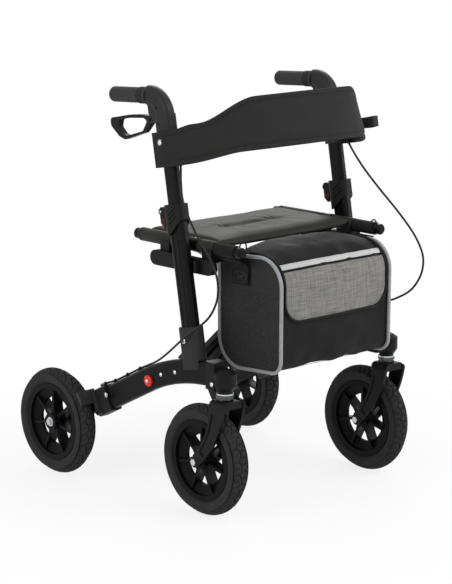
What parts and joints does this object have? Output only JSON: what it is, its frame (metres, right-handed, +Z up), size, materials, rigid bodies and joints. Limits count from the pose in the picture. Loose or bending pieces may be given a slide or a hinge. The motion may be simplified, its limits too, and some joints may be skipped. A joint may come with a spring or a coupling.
{
  "type": "all terrain rollator",
  "caption": "Folding all terrain rollator with big spoked wheels, swivelling front casters, loop brakes, height-set handles, sling seat, storage bag and padded backrest strip",
  "frame": {"origin": "On the floor, under the middle of the part's box.", "axes": "+X points the way the walker goes, +Y to the walker's left, +Z up."},
  "size_m": [0.764, 0.658, 0.9463],
  "materials": {
    "frame_paint": "gloss black powder coat",
    "moulding": "satin charcoal moulding",
    "black_plastic": "matte black",
    "grip_rubber": "soft matte rubber",
    "tyre": "matte rubber",
    "zinc": "bright zinc",
    "cable_sheath": "satin black sheath",
    "reflector_red": "clear red reflector",
    "seat_skin": "soft coated fabric with a sheen",
    "pad_fabric": "padded woven fabric",
    "bag_fabric": "woven bag fabric with mesh sides",
    "webbing": "flat webbing",
    "brake_shoe": "grey moulding"
  },
  "bodies": {
    "right_frame": {"right_beam": "frame_paint", "right_rear_arm": "frame_paint", "right_brake_housing": "moulding", "right_rear_axle": "zinc", "right_upright": "frame_paint", "right_socket": "moulding", "right_caster_head": "moulding", "right_height_clamp": "moulding", "right_seat_support": "black_plastic", "right_reflector": "reflector_red", "right_bolts": "zinc", "right_cable": "cable_sheath"},
    "right_handle": {"right_inner_tube": "frame_paint", "right_handle": "moulding", "right_grip": "grip_rubber", "backrest": "pad_fabric"},
    "right_lever": {"right_brake_lever": "black_plastic"},
    "right_shoe": {"right_brake_arm": "brake_shoe"},
    "right_flip": {"right_clamp_lever": "black_plastic"},
    "right_caster": {"right_fork": "black_plastic", "right_caster_stem": "zinc", "right_front_axle": "zinc"},
    "right_front_wheel": {"right_front_tyre": "tyre", "right_front_rim": "black_plastic"},
    "right_rear_wheel": {"right_rear_tyre": "tyre", "right_rear_rim": "black_plastic"},
    "left_frame": {"left_beam": "frame_paint", "left_rear_arm": "frame_paint", "left_brake_housing": "moulding", "left_rear_axle": "zinc", "left_upright": "frame_paint", "left_socket": "moulding", "left_caster_head": "moulding", "left_height_clamp": "moulding", "left_seat_support": "black_plastic", "left_reflector": "reflector_red", "left_bolts": "zinc", "left_cable": "cable_sheath"},
    "left_handle": {"left_inner_tube": "frame_paint", "left_handle": "moulding", "left_grip": "grip_rubber", "cane_loop": "webbing"},
    "left_lever": {"left_brake_lever": "black_plastic"},
    "left_shoe": {"left_brake_arm": "brake_shoe"},
    "left_flip": {"left_clamp_lever": "black_plastic"},
    "left_caster": {"left_fork": "black_plastic", "left_caster_stem": "zinc", "left_front_axle": "zinc"},
    "left_front_wheel": {"left_front_tyre": "tyre", "left_front_rim": "black_plastic"},
    "left_rear_wheel": {"left_rear_tyre": "tyre", "left_rear_rim": "black_plastic"},
    "brace_right": {"right_brace_bar": "frame_paint", "brace_pin": "zinc"},
    "brace_left": {"left_brace_bar": "frame_paint"},
    "right_rail": {"right_seat_rail": "frame_paint", "seat_pad": "seat_skin", "webbing_straps": "webbing", "storage_bag": "bag_fabric"},
    "left_rail": {"left_seat_rail": "frame_paint"}
  },
  "joints": [
    {"name": "fold", "type": "hinge", "parent": "right_frame", "child": "brace_right", "pos_m": [0.149, -0.219, 0.32006], "axis": [1, 0, 0], "range_deg": [0, 31], "deforming": ["seat_pad", "webbing_straps", "storage_bag", "backrest"]},
    {"name": "brace_cross", "type": "hinge", "parent": "brace_right", "child": "brace_left", "pos_m": [0.149, 0, 0.45903], "axis": [1, 0, 0], "range_deg": [-62, 0]},
    {"name": "left_side", "type": "hinge", "parent": "brace_left", "child": "left_frame", "pos_m": [0.149, 0.219, 0.32006], "axis": [1, 0, 0], "range_deg": [0, 31]},
    {"name": "right_rail_turn", "type": "hinge", "parent": "brace_left", "child": "right_rail", "pos_m": [0.149, -0.219, 0.598], "axis": [1, 0, 0], "range_deg": [0, 31]},
    {"name": "left_rail_turn", "type": "hinge", "parent": "brace_right", "child": "left_rail", "pos_m": [0.149, 0.219, 0.598], "axis": [1, 0, 0], "range_deg": [-31, 0]},
    {"name": "right_height", "type": "slide", "parent": "right_frame", "child": "right_handle", "axis": [-0.1736, 0, 0.9848], "range_m": [-0.07, 0.04], "deforming": ["right_cable"]},
    {"name": "left_height", "type": "slide", "parent": "left_frame", "child": "left_handle", "axis": [-0.1736, 0, 0.9848], "range_m": [-0.07, 0.04], "deforming": ["left_cable"]},
    {"name": "right_brake", "type": "hinge", "parent": "right_handle", "child": "right_lever", "pos_m": [0.057, -0.258, 0.87193], "axis": [0, 1, 0], "range_deg": [0, 12], "stiffness_Nm_per_rad": 2, "springref_deg": -5.73},
    {"name": "right_shoe_turn", "type": "hinge", "parent": "right_frame", "child": "right_shoe", "pos_m": [-0.12309, -0.258, 0.16986], "axis": [0, -1, 0], "range_deg": [0, 3]},
    {"name": "right_clamp", "type": "hinge", "parent": "right_frame", "child": "right_flip", "pos_m": [0.09112, -0.258, 0.66978], "axis": [0, 1, 0], "range_deg": [0, 100]},
    {"name": "right_swivel", "type": "hinge", "parent": "right_frame", "child": "right_caster", "pos_m": [0.289, -0.258, 0.3], "axis": [0, 0, 1], "continuous": true},
    {"name": "right_front_axle_turn", "type": "hinge", "parent": "right_caster", "child": "right_front_wheel", "pos_m": [0.225, -0.258, 0.127], "axis": [0, 1, 0], "continuous": true},
    {"name": "right_rear_axle_turn", "type": "hinge", "parent": "right_frame", "child": "right_rear_wheel", "pos_m": [-0.255, -0.3, 0.127], "axis": [0, 1, 0], "continuous": true},
    {"name": "left_brake", "type": "hinge", "parent": "left_handle", "child": "left_lever", "pos_m": [0.057, 0.258, 0.87193], "axis": [0, 1, 0], "range_deg": [0, 12], "stiffness_Nm_per_rad": 2, "springref_deg": -5.73},
    {"name": "left_shoe_turn", "type": "hinge", "parent": "left_frame", "child": "left_shoe", "pos_m": [-0.12309, 0.258, 0.16986], "axis": [0, -1, 0], "range_deg": [0, 3]},
    {"name": "left_clamp", "type": "hinge", "parent": "left_frame", "child": "left_flip", "pos_m": [0.09112, 0.258, 0.66978], "axis": [0, 1, 0], "range_deg": [0, 100]},
    {"name": "left_swivel", "type": "hinge", "parent": "left_frame", "child": "left_caster", "pos_m": [0.289, 0.258, 0.3], "axis": [0, 0, 1], "continuous": true},
    {"name": "left_front_axle_turn", "type": "hinge", "parent": "left_caster", "child": "left_front_wheel", "pos_m": [0.225, 0.258, 0.127], "axis": [0, 1, 0], "continuous": true},
    {"name": "left_rear_axle_turn", "type": "hinge", "parent": "left_frame", "child": "left_rear_wheel", "pos_m": [-0.255, 0.3, 0.127], "axis": [0, 1, 0], "continuous": true}
  ],
  "couplings": [
    {"joint": "brace_cross", "follows": "fold", "ratio": -2},
    {"joint": "left_side", "follows": "fold", "ratio": 1},
    {"joint": "right_rail_turn", "follows": "fold", "ratio": 1},
    {"joint": "left_rail_turn", "follows": "fold", "ratio": -1},
    {"joint": "left_height", "follows": "right_height", "ratio": 1},
    {"joint": "right_shoe_turn", "follows": "right_brake", "ratio": 0.25},
    {"joint": "left_shoe_turn", "follows": "left_brake", "ratio": 0.25}
  ]
}
